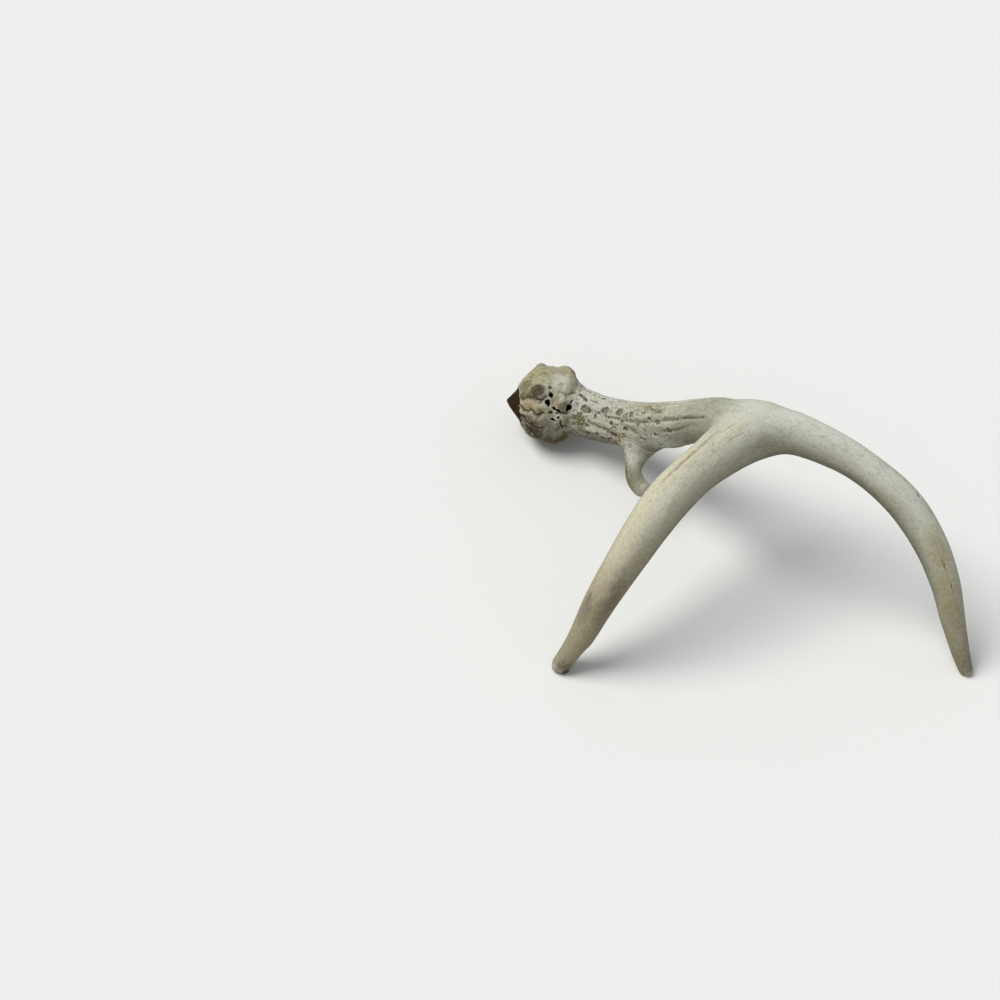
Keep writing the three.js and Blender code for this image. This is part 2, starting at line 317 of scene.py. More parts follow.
class Wire:
    """A node's output in a node tree. Sums and products of wires add the Math nodes they need."""

    def __init__(self, tree, socket=None):
        self.tree = tree
        self.socket = socket

    def node(self, kind, settings=None, sockets=None, output=0):
        """Adds a node of the kind, with its settings, then its inputs, and returns one output."""
        made = self.tree.nodes.new(kind)
        for name, value in (settings or {}).items():
            if name == "ramp":
                self.set_ramp(made.color_ramp, value)
            else:
                setattr(made, name, value)
        for name, value in (sockets or {}).items():
            if isinstance(value, Wire):
                self.tree.links.new(value.socket, made.inputs[name])
            else:
                made.inputs[name].default_value = value
        return Wire(self.tree, made.outputs[output])

    @staticmethod
    def set_ramp(ramp, stops):
        while len(ramp.elements) < len(stops):
            ramp.elements.new(0.5)
        for element, (place, colour) in zip(ramp.elements, stops):
            element.position = place
            element.color = colour

    def math(self, operation, *values):
        return self.node("ShaderNodeMath", {"operation": operation}, dict(enumerate(values)))

    def __add__(self, other):
        return self.math("ADD", self, other)

    def __sub__(self, other):
        return self.math("SUBTRACT", self, other)

    def __mul__(self, other):
        return self.math("MULTIPLY", self, other)

    def __radd__(self, other):
        return self.math("ADD", other, self)

    def __rsub__(self, other):
        return self.math("SUBTRACT", other, self)

    def __rmul__(self, other):
        return self.math("MULTIPLY", other, self)

    def __rtruediv__(self, other):
        return self.math("DIVIDE", other, self)

    def __abs__(self):
        return self.math("ABSOLUTE", self)

    def ramp_up(self, low, high):
        """Rises smoothly from 0 at low to 1 at high. With low above high it falls instead."""
        return self.node("ShaderNodeMapRange", {"interpolation_type": "SMOOTHSTEP"},
                         {"Value": self, "From Min": low, "From Max": high})

    def stretched(self, *factors):
        """A vector wire with each of its parts multiplied."""
        return self.node("ShaderNodeVectorMath", {"operation": "MULTIPLY"}, {0: self, 1: factors})


def limb_tree():
    """Sweeps tubes along curves, with the radius of each of their points."""
    tree = bpy.data.node_groups.new("swept_limbs", "GeometryNodeTree")
    tree.interface.new_socket("Curves", in_out="INPUT", socket_type="NodeSocketGeometry")
    tree.interface.new_socket("Sides", in_out="INPUT", socket_type="NodeSocketInt")
    tree.interface.new_socket("Limbs", in_out="OUTPUT", socket_type="NodeSocketGeometry")
    wire = Wire(tree)
    given = tree.nodes.new("NodeGroupInput")
    curves = Wire(tree, given.outputs["Curves"])
    sides = Wire(tree, given.outputs["Sides"])
    section = wire.node("GeometryNodeCurvePrimitiveCircle", {}, {"Resolution": sides, "Radius": 1.0})
    radius = wire.node("GeometryNodeInputRadius")
    tubes = wire.node("GeometryNodeCurveToMesh", {},
                      {"Curve": curves, "Profile Curve": section, "Scale": radius, "Fill Caps": True})
    real = wire.node("GeometryNodeRealizeInstances", {}, {"Geometry": tubes})
    limbs = wire.node("GeometryNodeSetMaterial", {}, {"Geometry": real, "Material": bone})
    result = tree.nodes.new("NodeGroupOutput")
    tree.links.new(limbs.socket, result.inputs["Limbs"])
    return tree


def set_inputs(modifier, values):
    """Sets a Geometry Nodes modifier's inputs by the names that its tree gives them."""
    for item in modifier.node_group.interface.items_tree:
        if item.name in values:
            modifier[item.identifier] = values[item.name]


def baked(thing, name):
    """A plain mesh object of what the thing's modifiers make. The thing itself is removed."""
    bpy.context.view_layer.update()
    graph = bpy.context.evaluated_depsgraph_get()
    made = bpy.data.meshes.new_from_object(thing.evaluated_get(graph), depsgraph=graph)
    bpy.data.objects.remove(thing)
    result = bpy.data.objects.new(name, made)
    bpy.context.scene.collection.objects.link(result)
    return result


def corners_of(thing):
    flat = np.empty(len(thing.data.vertices) * 3, np.float32)
    thing.data.vertices.foreach_get("co", flat)
    return flat.reshape(-1, 3).astype(float)


def normals_of(thing):
    flat = np.empty(len(thing.data.vertices) * 3, np.float32)
    thing.data.vertex_normals.foreach_get("vector", flat)
    return flat.reshape(-1, 3).astype(float)


def move_corners(thing, places):
    thing.data.vertices.foreach_set("co", places.astype(np.float32).ravel())
    thing.data.update()


curves = bpy.data.curves.new("limb_lines", "CURVE")
curves.dimensions = "3D"
burr_steps = np.linspace(-28, 16, 30)
burr_line = BURR_MIDDLE + burr_steps[:, None] * BURR_AXIS
burr_radii = np.interp(burr_steps, BURR_PROFILE[:, 0], BURR_PROFILE[:, 1])
for middle, radius in (
    (beam.middle, beam.radius), (brow.middle, brow.radius), (arch.middle, arch.radius),
    (burr_line, burr_radii),
):
    spline = curves.splines.new("POLY")
    spline.points.add(len(middle) - 1)
    spline.points.foreach_set("co", np.c_[middle, np.ones(len(middle))].ravel())
    spline.points.foreach_set("radius", radius)
skeleton = bpy.data.objects.new("limb_lines", curves)
bpy.context.scene.collection.objects.link(skeleton)
sweep = skeleton.modifiers.new("sweep", "NODES")
sweep.node_group = limb_tree()
set_inputs(sweep, {"Sides": TUBE_SIDES})
tubes = baked(skeleton, "tubes")

fuse = tubes.modifiers.new("fuse", "REMESH")
fuse.mode = "VOXEL"
fuse.voxel_size = SKIN_GRAIN
skin = baked(tubes, "skin")
for _ in range(DRAWN_STEPS):
    places = corners_of(skin)
    step = np.clip(antler_height(places), -LONGEST_STEP, LONGEST_STEP)
    move_corners(skin, places - step[:, None] * normals_of(skin))


def smoothed(values, edges, rounds):
    """Averages a value over each corner's neighbours, again and again."""
    count = np.bincount(edges.ravel(), minlength=len(values))[:, None]
    values = values.reshape(len(values), -1)
    for _ in range(rounds):
        total = np.zeros_like(values)
        for i in range(values.shape[1]):
            total[:, i] = (np.bincount(edges[:, 0], values[edges[:, 1], i], len(values))
                           + np.bincount(edges[:, 1], values[edges[:, 0], i], len(values)))
        values = 0.5 * values + 0.5 * total / count
    return values


def edges_of(thing):
    flat = np.empty(len(thing.data.edges) * 2, np.int32)
    thing.data.edges.foreach_get("vertices", flat)
    return flat.reshape(-1, 2)


move_corners(skin, smoothed(corners_of(skin), edges_of(skin), EVENING_ROUNDS))


# ---- The antler: the places on its skin ----
# Every place on the bone has its distance along a limb and its angle around it, from the outer face.
# They are kept on the skin as its grain, which the relief and the colours follow, in millimetres.

def store(thing, name, values):
    """Keeps a number or a vector for each corner of the mesh."""
    kind = "FLOAT_VECTOR" if values.ndim == 2 else "FLOAT"
    field = "vector" if values.ndim == 2 else "value"
    attribute = thing.data.attributes.new(name, kind, "POINT")
    attribute.data.foreach_set(field, values.astype(np.float32).ravel())


def drift(width, seed):
    """A smooth number for each corner, mostly between -1 and 1, that changes over the given width."""
    waves = np.random.default_rng(seed)
    total = np.zeros(len(skin.data.vertices))
    for _ in range(12):
        way = unit(waves.normal(size=3)) * 2 * math.pi / width * waves.uniform(0.6, 1.4)
        total += np.sin(corners_of(skin) @ way + waves.uniform(0, 2 * math.pi))
    return total / 3.4


# What pushes the edges of pits and stains about, finely and widely, and bends the clefts.
push_along = drift(3, 1) + 0.7 * drift(9, 2)
push_across = drift(3, 3) + 0.7 * drift(9, 4)
longwise = drift(9, 5)


class Places:
    """Where each corner of the skin is: along and around one limb."""

    usual_radius = 14  # of the beam and the arch, for the length of a line that runs around them

    def __init__(self, height, across, out, along):
        self.height = height
        self.angle = np.arctan2(across, out)
        self.reach = np.hypot(across, out)
        self.along = along
        self.grain = np.stack([across, out, along], 1)

    def away(self, place, degrees, ragged):
        """How far each corner is from a place along the limb and around it, made a little ragged."""
        turned = self.angle - math.radians(degrees)
        around = np.arctan2(np.sin(turned), np.cos(turned)) * self.reach
        return self.along - place + ragged * push_along, around + ragged * push_across

    def spot(self, place, degrees, long, wide, turn=0.0, power=1, ragged=0.0):
        """1 in the middle of an oval spot and 0.37 at its rim. A high power makes it flat inside."""
        u, v = self.away(place, degrees, ragged)
        c, s = math.cos(math.radians(turn)), math.sin(math.radians(turn))
        return np.exp(-(((u * c + v * s) / long)**2 + ((v * c - u * s) / wide)**2) ** power)

    def line(self, start, end, wide, ragged=0.0):
        """1 on a line from one place to another, given as (along, degrees), and 0 away from it."""
        u, v = self.away(*start, ragged)
        run = np.array([end[0] - start[0], math.radians(end[1] - start[1]) * self.usual_radius])
        share = np.clip((u * run[0] + v * run[1]) / (run @ run), 0, 1)
        return np.exp(-((u - share * run[0])**2 + (v - share * run[1])**2) / wide**2)


def skin_places():
    """The places of the skin's corners on the burr, the beam, the brow tine and the arch."""
    corners = corners_of(skin)
    gap, along, across, out = burr_around(corners)
    return (Places(gap, across, out, along), Places(*beam.around(corners)),
            Places(*brow.around(corners)), Places(*arch.around(corners)))


BLEND = 6  # on both sides of a fork, where the beam's places pass into those of the side limb
BROW_SHIFT = 300  # so that the brow tine doesn't repeat the arch's pattern

on_burr, on_beam, on_brow, on_arch = skin_places()
side_height = np.minimum(on_arch.height, on_brow.height)
side_share = smoothstep(-BLEND, BLEND, on_beam.height - side_height)
is_brow = (on_brow.height < on_arch.height)[:, None]
burr_share = smoothstep(3, 0.5, on_burr.height) * smoothstep(-1.5, 1.0, on_beam.height)

# The bone is coarse on the lower beam and the foot of the brow tine, and nearly smooth on the arch.
coarse = (1 - 0.85 * smoothstep(100, 170, on_beam.along)) * (1 - 0.6 * burr_share)
brow_coarse = 0.35 + 0.45 * smoothstep(24, 8, on_brow.along)
coarse = coarse * (1 - side_share) + side_share * np.where(is_brow[:, 0], brow_coarse, 0.1)
store(skin, "grain", on_beam.grain)
store(skin, "side_grain", np.where(is_brow, on_brow.grain + BROW_SHIFT, on_arch.grain))
store(skin, "side_share", side_share)
store(skin, "coarse", coarse)


# ---- The antler: knobs, pits and grooves that stand where they are on this one ----
# Each is the distance along its limb, its angle from the outer face in degrees, and its size in
# millimetres. The burr has a row of fingers beside the seal, a row of lumps beside the beam, and
# deep holes in the furrow between the rows, where blood vessels ran.

FINGER_GAPS = [  # angle, depth: the clefts between the fingers beside the seal
    (-174, 1.8),
    (-152, 2.0),
    (-133, 1.6),
    (-114, 1.8),
    (-97, 1.2),
    (-76, 1.1),
    (-48, 1.1),
    (-4, 2.2),
    (22, 2.4),
    (43, 2.1),
    (62, 1.7),
    (84, 1.8),
    (106, 1.8),
    (124, 2.0),
    (143, 1.6),
    (165, 2.0),
]
LUMP_GAPS = [  # the same between the lumps beside the beam
    (-158, 1.6),
    (-126, 1.8),
    (-100, 1.2),
    (-66, 1.0),
    (-20, 1.6),
    (14, 1.9),
    (40, 1.7),
    (76, 1.1),
    (108, 1.8),
    (139, 1.6),
    (171, 1.9),
]
KNOBS = [  # on the burr: place, angle, height, half length, half width
    (-9, -92, 2.6, 3.2, 3.6),
    (-16, -72, 1.5, 5.5, 6.5),
    (-1, -84, 0.8, 3.5, 4.5),
    (7.5, -86, 2.2, 5.0, 5.5),
    (11.5, -62, 1.0, 3.0, 5.0),
    (10, 90, 2.2, 5, 5),
    (0, 86, 1.6, 4, 6),
    (20, 92, 2.0, 5, 5),
    (8.5, -4, 1.8, 3.6, 3.4),
    (10.5, 25, 1.0, 3.4, 3.0),
    (2, 52, 1.2, 6, 5),
    (-17, 62, -1.6, 4.5, 7),
    (17.5, -84, -1.8, 3.2, 7),
    (-9, -42, 1.0, 5, 6),
    (10, -40, 0.9, 4.5, 5),
    (-7, 72, 1.0, 5, 5),
    (8, 150, 1.6, 4.5, 5),
    (-5, -140, 1.6, 4.5, 4.5),
    (7, -160, 1.6, 4.5, 5),
]
BURR_HOLES = [  # place, angle, depth, half length, half width, turn
    (0.3, -12, 4.0, 1.5, 2.0, -30),
    (-1.2, 2, 4.2, 1.6, 2.4, -25),
    (3.6, 9, 3.0, 1.3, 1.1, 0),
    (6.6, 12, 3.0, 2.8, 1.0, 20),
    (3.6, 28, 2.8, 2.2, 1.1, 25),
    (7.4, 22, 2.0, 1.1, 1.2, 0),
    (13.6, 5, 4.0, 1.7, 2.4, 30),
    (14.6, -6, 1.8, 1.3, 2.2, 30),
    (10.0, 36, 1.6, 0.9, 4.4, -22),
    (-1.5, -24, 1.2, 1.5, 2.0, 0),
    (1.2, 15, 1.4, 1.6, 1.2, 0),
    (5.5, 16, 1.0, 1.0, 0.9, 0),
    (2.0, 120, 3.6, 2.4, 1.5, 70),
    (1.0, 165, 3.6, 2.2, 1.4, 100),
    (3.0, -150, 3.4, 2.6, 1.3, 60),
    (1.0, -105, 2.6, 2.0, 1.2, 80),
    (9.0, 140, 2.8, 1.8, 1.1, 20),
    (8.0, -125, 2.8, 1.8, 1.2, 40),
]
PITS = [  # on the beam: place, angle, depth, half length, half width, turn
    (41.5, -32, 1.4, 3.8, 1.7, 22),
    (36.5, -39, 1.1, 2.2, 1.3, 20),
    (39.5, -62, 1.2, 1.7, 1.5, 0),
    (44.8, -60, 1.0, 1.6, 1.3, 0),
    (47.0, -7, 1.7, 4.6, 3.1, 5),
    (55.0, -59, 1.4, 2.3, 1.9, 0),
    (64.0, -21, 1.6, 3.6, 3.3, 0),
    (60.0, -10, 0.9, 1.5, 1.4, 0),
    (66.5, -9, 1.2, 2.0, 1.4, 25),
    (70.0, -5, 1.1, 1.6, 1.2, 25),
    (78.0, -24, 1.4, 3.4, 3.0, 0),
    (73.6, 8, 1.1, 1.7, 1.4, 0),
    (58.0, 2, 0.9, 1.7, 1.4, 0),
    (84.0, -3, 1.0, 1.9, 1.5, 0),
    (86.5, -22, 0.8, 1.6, 1.4, 0),
    (91.0, -24, 1.2, 2.5, 2.2, 0),
    (88.0, 16, 1.0, 2.4, 1.3, 10),
    (98.0, -23, 1.1, 1.6, 1.5, 0),
    (104.0, -29, 0.9, 2.6, 1.3, 0),
    (101.0, 0, 0.9, 2.2, 1.4, 0),
    (112.0, -14, 1.1, 2.4, 1.7, 0),
    (122.0, -10, 1.1, 3.2, 1.8, 10),
    (133.0, 14, 1.2, 3.2, 1.8, 0),
    (118.0, 24, 0.9, 2.0, 1.4, 0),
    (112.0, -42, 0.8, 3.0, 1.5, 0),
    (60.0, 45, 1.0, 2.4, 1.6, 0),
    (70.0, 52, 1.2, 2.6, 1.4, 0),
    (80.0, 50, 1.2, 2.2, 1.4, 0),
    (52.0, 30, 0.8, 2.2, 1.5, 0),
    (50.0, 130, 1.3, 2.8, 2.0, 0),
    (66.0, 150, 1.3, 3.0, 2.2, 0),
    (58.0, -120, 1.3, 2.8, 2.2, 0),
    (80.0, -150, 1.2, 2.6, 2.0, 0),
    (92.0, 175, 1.1, 2.6, 1.8, 0),
    (108.0, -130, 1.0, 2.4, 1.6, 0),
]
BEAM_GROOVES = [  # start, end, depth, half width
    ((131, -16), (139, -12), 1.0, 1.6),
    ((139, -12), (149, -6), 0.8, 1.1),
    ((149, -6), (161, 1), 0.9, 1.0),
    ((161, 1), (174, 10), 0.7, 1.0),
    ((128, 14), (134, 16), 0.9, 1.5),
    ((137, 16), (150, 18), 0.45, 1.1),
    ((150, 18), (164, 22), 0.3, 1.2),
    ((47, -16), (66, -9), 0.6, 1.5),
    ((66, -9), (87, -4), 0.6, 1.5),
    ((87, -4), (109, -5), 0.8, 1.4),
    ((109, -5), (131, -16), 0.8, 1.5),
    ((53, 20), (67, 30), 0.8, 1.5),
    ((67, 30), (80, 45), 0.8, 1.5),
    ((44, 53), (56, 54), 0.7, 1.5),
    ((56, 54), (67, 66), 0.7, 1.5),
    ((84, 3), (98, 23), 0.7, 1.6),
    ((98, 23), (104, 44), 0.6, 1.7),
    ((95, -70), (150, -62), 0.5, 1.6),
    ((70, 95), (140, 100), 0.6, 1.8),
    ((60, -175), (140, -165), 0.6, 1.8),
]
BEAM_RIDGES = [
    ((46, 42), (60, 42), 0.8, 1.6),
    ((60, 42), (72, 54), 0.7, 1.5),
    ((50, 10), (66, 14), 0.6, 1.8),
    ((66, 14), (82, 28), 0.6, 1.8),
    ((70, -1), (88, 8), 0.5, 1.5),
    ((86, -13), (110, -15), 0.5, 1.6),
    ((110, -24), (136, -26), 0.6, 1.8),
    ((136, -26), (160, -12), 0.7, 2.0),
    ((160, -12), (180, 6), 0.6, 2.0),
    ((120, 2), (150, 6), 0.5, 2.0),
]
ARCH_GROOVES = [
    ((136, -46), (148, -46), 0.15, 1.4),
    ((148, -46), (162, -52), 0.28, 1.2),
    ((162, -52), (176, -49), 0.25, 1.0),
    ((176, -49), (184, -38), 0.18, 0.8),
    ((184, -40), (194, -37), 0.2, 0.6),
    ((185, -28), (196, -34), 0.15, 0.5),
    ((178, -20), (188, -22), 0.2, 0.5),
    ((184, -13), (194, -8), 0.2, 0.5),
    ((352, -2), (377, -10), 0.25, 0.7),
    ((230, 150), (330, 170), 0.4, 2.2),
    ((90, -150), (170, -160), 0.4, 2.2),
]
ARCH_HOLE = (313.6, -55)  # a small round hole on the upper edge of the rear tine
ARCH_PITS = [
    (*ARCH_HOLE, 1.6, 1.1, 1.0, 0),
    (357.0, -3, 0.6, 2.4, 0.5, 10),
    (371.0, -9, 0.5, 2.8, 0.5, 0),
]
TIP_SPURS = [  # on the forward tip: place, angle, height, half length, half width
    (0.5, 95, 2.4, 2.6, 3.0),
    (0.5, -60, 1.2, 3.0, 4.0),
]
SEAL_RADIUS = 13.0
SEAL_DROP = 2.8  # how much further its rim reaches on its lower side, and less far on its upper side
SEAL_DEPTH = 0.7
FURROW_PLACE = 1.5  # between the rows of fingers and lumps, it swings to both sides of this place
FURROW_DEPTH = 1.2
FURROW_WIDTH = 2.4


def clefts(gaps):
    """How far the clefts of a row sink in. Between two of them the bone is as round as a finger."""
    degrees = np.degrees(on_burr.angle) + 0.8 * push_across + 4 * longwise
    angles = np.array([gap[0] for gap in gaps] + [gaps[0][0] + 360])
    depths = np.array([gap[1] for gap in gaps] + [gaps[0][1]])
    degrees = (degrees - angles[0]) % 360 + angles[0]
    after = np.clip(np.searchsorted(angles, degrees, side="right"), 1, len(gaps))
    share = (degrees - angles[after - 1]) / (angles[after] - angles[after - 1])
    depth = depths[after - 1] * (1 - share) + depths[after] * share
    return depth * (1 - 4 * share * (1 - share))


def deepest(places, table):
    """How far the pits of a table sink in at each corner, and how far they are inside their rims."""
    depth = np.zeros(len(places.along))
    rims = np.zeros(len(places.along))
    for place, degrees, size, long, wide, turn in table:
        depth = np.maximum(depth, size * places.spot(place, degrees, long, wide, turn, 3, 0.35))
        rims = np.maximum(rims, places.spot(place, degrees, long + 0.9, wide + 0.9, turn, 2, 0.45))
    return depth, rims


def longest(places, table):
    """How far the grooves or ridges of a table reach at each corner."""
    depth = np.zeros(len(places.along))
    for start, end, size, wide in table:
        depth = np.maximum(depth, size * places.line(start, end, wide, 0.12))
    return depth * (1 + 0.2 * longwise)


# The burr: its fingers and lumps, the furrow between them, its knobs, and the seal.
finger_clefts = clefts(FINGER_GAPS)
lump_clefts = clefts(LUMP_GAPS)
lower = np.sin(on_burr.angle)
seal_edge = SEAL_RADIUS + SEAL_DROP * lower - 0.9 * finger_clefts + 0.4 * push_along
seal = smoothstep(seal_edge + 0.4, seal_edge - 0.4, on_burr.reach) * (on_burr.along < -10)
on_front = smoothstep(-26, -18, on_burr.along) * smoothstep(1, -5, on_burr.along)
on_rear = smoothstep(3, 8, on_burr.along) * smoothstep(20, 14, on_burr.along)
furrow_share = 0.3 + 0.7 * np.maximum(on_burr.spot(0, 4, 90, 15), on_burr.spot(0, 170, 90, 25))
swing = 1.5 * np.sin(2 * on_burr.angle)
furrow = np.exp(-((on_burr.along - FURROW_PLACE - swing) / FURROW_WIDTH)**2) * furrow_share
height = 0.6 - finger_clefts * on_front - lump_clefts * on_rear - FURROW_DEPTH * furrow
for place, degrees, size, long, wide in KNOBS:
    height += size * on_burr.spot(place, degrees, long, wide, 0, 1, 0.3)
height = height * (1 - seal) - SEAL_DEPTH * seal

# The holes in the burr, and the pits, grooves and ridges of the beam and the arch. Rims stand up a little.
hole, hole_rims = deepest(on_burr, BURR_HOLES)
hole *= burr_share
beam_pits, beam_rims = deepest(on_beam, PITS)
arch_pits = deepest(on_arch, ARCH_PITS)[0]
on_beam_alone = (1 - side_share) * (1 - 0.7 * burr_share)
on_arch_alone = side_share * ~is_brow[:, 0]
beam_furrows = longest(on_beam, BEAM_GROOVES)
arch_furrows = longest(on_arch, ARCH_GROOVES)
pit = np.maximum(beam_pits, beam_furrows) * on_beam_alone
pit = np.maximum(pit, np.maximum(arch_pits, arch_furrows) * on_arch_alone)
# How dark the pits and grooves are painted: partly their grey porous floors and partly painted shade in
# them.
pit_tint_and_shade = np.maximum(beam_pits, 0.6 * beam_furrows) * on_beam_alone
pit_tint_and_shade = np.maximum(pit_tint_and_shade, np.maximum(arch_pits, arch_furrows) * on_arch_alone)
relief = (height - hole + 0.35 * hole_rims) * burr_share - 1.15 * pit
relief += (longest(on_beam, BEAM_RIDGES) + 0.3 * beam_rims) * on_beam_alone
spurs = sum(size * on_arch.spot(place, degrees, long, wide)
            for place, degrees, size, long, wide in TIP_SPURS)
relief += spurs * on_arch_alone
places = corners_of(skin) + relief[:, None] * normals_of(skin)

# Both tips are worn: the forward one on its front and on both sides, the rear one on its outer side and
# its front. Each worn face has a point on it, the way it faces, how much it darkens the bone, and its
# reach.
WORN_FACES = [
    ((-104.5, -115.9, 3.6), (0.32, -0.92, -0.25), 1.0, 20),
    ((-112.9, -111.0, 5.0), (-0.98, 0.0, 0.2), 0.0, 20),
    ((-97.0, -110.8, 11.0), (0.80, -0.45, -0.40), 0.0, 11),
    ((152.4, -113.0, 8.0), (0.97, -0.1, 0.22), 0.0, 20),
    ((147.0, -117.8, 3.0), (-0.45, -0.86, -0.2), 0.0, 20),
]
WORN_AWAY = 0.85  # the share of what stands over a face that is gone
worn = np.zeros(len(places))
for point, facing, darkness, reach in WORN_FACES:
    facing = unit(np.array(facing))
    near = smoothstep(1.3 * reach, 0.7 * reach, np.linalg.norm(places - point, axis=1))
    beyond = np.maximum((places - point) @ facing, 0) * near
    places -= (beyond * WORN_AWAY)[:, None] * facing
    worn = np.maximum(worn, darkness * smoothstep(0.1, 0.7, beyond))
move_corners(skin, places)
store(skin, "worn", worn)
store(skin, "hole", np.maximum(hole, 2.5 * on_arch.spot(*ARCH_HOLE, 1.3, 1.2) * side_share))
store(skin, "pit", pit_tint_and_shade)
store(skin, "seal", seal * (on_burr.height < 6))
store(skin, "burr", burr_share)
store(skin, "cleft", (finger_clefts * on_front + lump_clefts * on_rear) * burr_share * (1 - seal))


# ---- The antler: its stains and a little painted shade ----
# Soil, moss and rust have coloured the bone in patches, each in its own tone, and a few dark patches on
# the burr and the forward prong are partly painted shade. A patch has its place along its limb, its angle,
# its half length, its half width, how strong it is and its tone.

def tone(r, g, b):
    """A colour given as it looks on a screen, in steps of 255."""
    return np.array([c / 12.92 if c <= 0.04045 else ((c + 0.055) / 1.055) ** 2.4
                     for c in (r / 255, g / 255, b / 255)])


CREAM = tone(202, 197, 168)
TAN = tone(160, 146, 114)
RUST = tone(172, 148, 108)
OLIVE = tone(90, 82, 42)
MOSS = tone(158, 151, 112)
UMBER = tone(82, 72, 52)
CLAY = tone(118, 108, 82)
LILAC = tone(122, 118, 110)
ASH = tone(90, 86, 72)
SOIL_AND_SHADE = tone(46, 38, 24)
WHITE = tone(222, 222, 214)
STONE = tone(148, 147, 131)
STAIN_AND_SHADE_PATCHES = {
    "burr": [
        (-12, -58, 12, 18, 0.8, MOSS),
        (-18, -30, 5, 6, 0.7, OLIVE),
        (-8, -94, 5, 5, 0.8, LILAC),
        (9, -72, 9, 10, 0.65, MOSS),
        (15, -76, 4, 6, 0.7, OLIVE),
        (3, -40, 7, 7, 0.15, WHITE),
        (4, 10, 8, 9, 0.25, CLAY),
        (-14, -7, 6, 3.6, 0.95, CLAY),
        (-5, -5, 5, 2.6, 0.5, UMBER),
        (-9, -1, 6, 2.2, 0.7, UMBER),
        (-10, 14, 7.5, 3.4, 0.8, RUST),
        (-15, 12, 4, 3.4, 0.7, TAN),
        # The dark brown band beside the seal, from about 30 to 60 degrees, is partly stain and partly
        # painted shadow under the overhanging finger above it.
        (-8, 31, 9, 5, 0.6, UMBER),
        (-14, 44, 7, 5, 0.8, UMBER),
        (-7, 68, 12, 10, 0.95, UMBER),
        (8, 80, 9, 9, 0.9, UMBER),
        (12, 88, 5, 5, 0.6, OLIVE),
        (2, 46, 6.5, 6.5, 0.85, LILAC),
        (-10.5, 60, 5, 3.2, 1.0, SOIL_AND_SHADE),
        (-6, 50, 5, 2.6, 0.9, SOIL_AND_SHADE),
        (-15, 44, 4, 3, 0.5, SOIL_AND_SHADE),
        (15, 60, 4, 4, 0.7, SOIL_AND_SHADE),
        (10, 7, 4.5, 4.5, 0.9, UMBER),
        (7, -1, 5, 4.5, 0.5, TAN),
        (2, -8, 3, 6, 0.5, UMBER),
        (12, 30, 5, 4, 0.5, OLIVE),
        (0, 140, 16, 16, 0.7, CLAY),
        (5, 175, 12, 16, 0.6, TAN),
        (-8, -130, 12, 16, 0.6, MOSS),
        (9, -150, 8, 14, 0.5, LILAC),
    ],
    "beam": [
        (70, 0, 60, 60, 0.5, STONE),
        (168, -20, 32, 22, 0.85, STONE),
        (97, 70, 24, 9, 0.7, STONE),
        (66, 78, 46, 7, 0.45, UMBER),
        (112, -42, 34, 7, 0.4, MOSS),
        (118, 48, 22, 9, 0.9, STONE),
        (118, 50, 14, 6, 0.3, WHITE),
        (148, 12, 20, 5, 0.3, CLAY),
        (60, -62, 24, 7, 0.3, WHITE),
        (40, 20, 6, 4, 0.6, CLAY),
        (45, 26, 6.2, 4.6, 1.0, OLIVE),
        (82, 46, 10, 7, 0.6, RUST),
        (74, 42, 7, 5, 0.6, CLAY),
        (120.6, -36, 7, 2.5, 0.6, OLIVE),
        (106.6, -42, 5, 3, 0.6, OLIVE),
        (70, 150, 30, 14, 0.6, TAN),
        (110, 120, 30, 10, 0.5, OLIVE),
    ],
    "brow": [
        (24, 0, 22, 30, 0.5, STONE),
        (18, 20, 12, 9, 0.4, WHITE),
        (38, 30, 9, 12, 0.5, OLIVE),
        (30, 120, 12, 8, 0.7, UMBER),
    ],
    "arch": [
        (188, -15, 44, 26, 0.4, STONE),
        (250, 0, 30, 9, 0.3, STONE),
        # A faint darkening on the lower half of the forward prong, partly painted shade.
        (40, 0, 52, 22, 0.2, UMBER),
        (110, -10, 70, 22, 0.3, TAN),
        (145, -56, 40, 6, 0.75, CREAM),
        (100, -40, 34, 8, 0.6, CREAM),
        (60, -40, 24, 10, 0.4, TAN),
        (186, -30, 14, 4, 0.5, CREAM),
        (160, -50, 26, 1.3, 0.5, OLIVE),
        (210, 30, 16, 6, 0.35, ASH),
        (50, -40, 9, 4, 0.75, LILAC),
        (58, -52, 4, 2, 0.6, ASH),
        (30, 0, 24, 9, 0.4, MOSS),
        (64, 30, 20, 6, 0.4, UMBER),
        (235, -40, 40, 7, 0.4, WHITE),
        (345, -8, 16, 6, 0.7, MOSS),
        (372, 8, 22, 7, 0.7, MOSS),
        (404, 20, 28, 9, 0.35, CLAY),
        (428, 20, 16, 12, 0.5, CLAY),
        (5, 60, 8, 10, 0.6, UMBER),
        (260, 160, 80, 14, 0.4, MOSS),
        (120, 160, 60, 14, 0.4, TAN),
    ],
}
limb_shares = {
    "burr": burr_share,
    "beam": (1 - side_share) * (1 - burr_share),
    "brow": side_share * is_brow[:, 0],
    "arch": side_share * ~is_brow[:, 0],
}
stain = np.zeros(len(side_share))
stain_tone = np.tile(MOSS, (len(side_share), 1))
for limb, on_limb in (("burr", on_burr), ("beam", on_beam), ("brow", on_brow), ("arch", on_arch)):
    for place, degrees, long, wide, strength, colour in STAIN_AND_SHADE_PATCHES[limb]:
        ragged = min(1.2, 0.35 * min(long, wide))
        spread = on_limb.spot(place, degrees, long, wide, 0, 2, ragged)
        amount = strength * limb_shares[limb] * spread
        share = amount / np.maximum(amount + stain * (1 - amount), 1e-6)
        stain_tone = stain_tone + (colour - stain_tone) * share[:, None]
        stain = stain + amount * (1 - stain)
